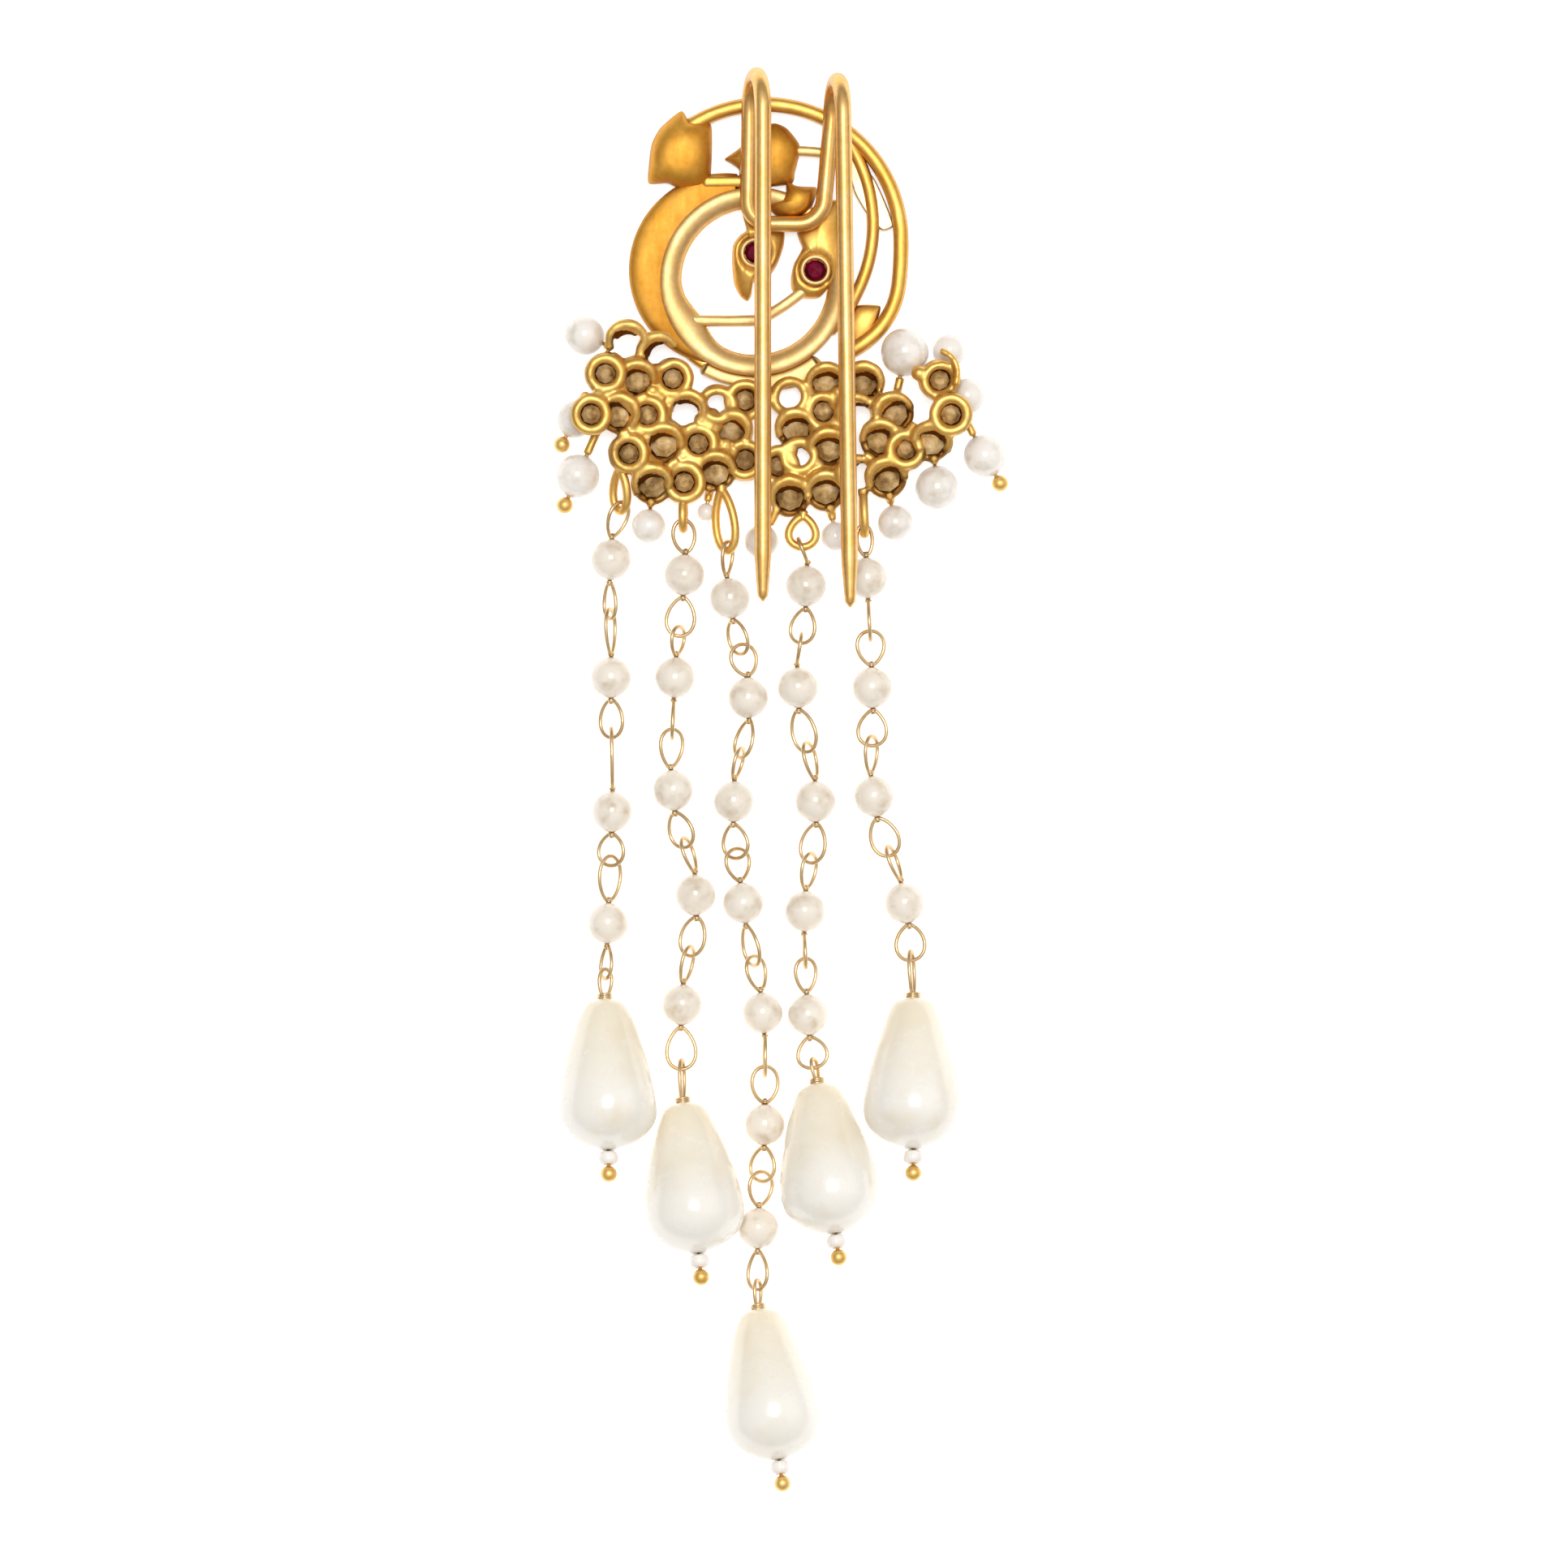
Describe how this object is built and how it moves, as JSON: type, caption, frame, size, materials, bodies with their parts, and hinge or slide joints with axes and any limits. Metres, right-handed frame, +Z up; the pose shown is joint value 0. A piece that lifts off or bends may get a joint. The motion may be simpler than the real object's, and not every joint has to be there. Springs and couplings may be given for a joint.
{
  "type": "hair pin",
  "caption": "Hair bun pin: openwork bird frame, net of set stones, a forked wire, and strands of linked pearls that end in pear-shaped drops.",
  "frame": {"origin": "middle of the space the pin covers, on the surface that it lies on", "axes": "+Y from the drops towards the fork's bends, +X to the right as seen from its back, +Z up from the surface"},
  "size_m": [0.0447, 0.1398, 0.0104],
  "materials": {
    "gold": "worn satin gold, darker in the hollows",
    "pale_gold": "dull pale gold wire",
    "pearl": "baroque pearl with a soft pink and grey lustre",
    "drop": "cream pearl lustre",
    "ruby": "deep red cut stone",
    "stone": "brown-grey cut stone seen from its back"
  },
  "bodies": {
    "root": {"frame_fork_and_net": "gold", "ruby_eye_left": "ruby", "ruby_eye_right": "ruby", "net_stones": "stone", "fringe_pearls": "pearl", "strand_1_pearls": "pearl", "strand_1_wires": "pale_gold", "strand_2_pearls": "pearl", "strand_2_wires": "pale_gold", "strand_3_pearls": "pearl", "strand_3_wires": "pale_gold", "strand_4_pearls": "pearl", "strand_4_wires": "pale_gold", "strand_5_pearls": "pearl", "strand_5_wires": "pale_gold", "drop_1": "drop", "drop_2": "drop", "drop_3": "drop", "drop_4": "drop", "drop_5": "drop", "seed_beads": "pearl"}
  },
  "joints": []
}
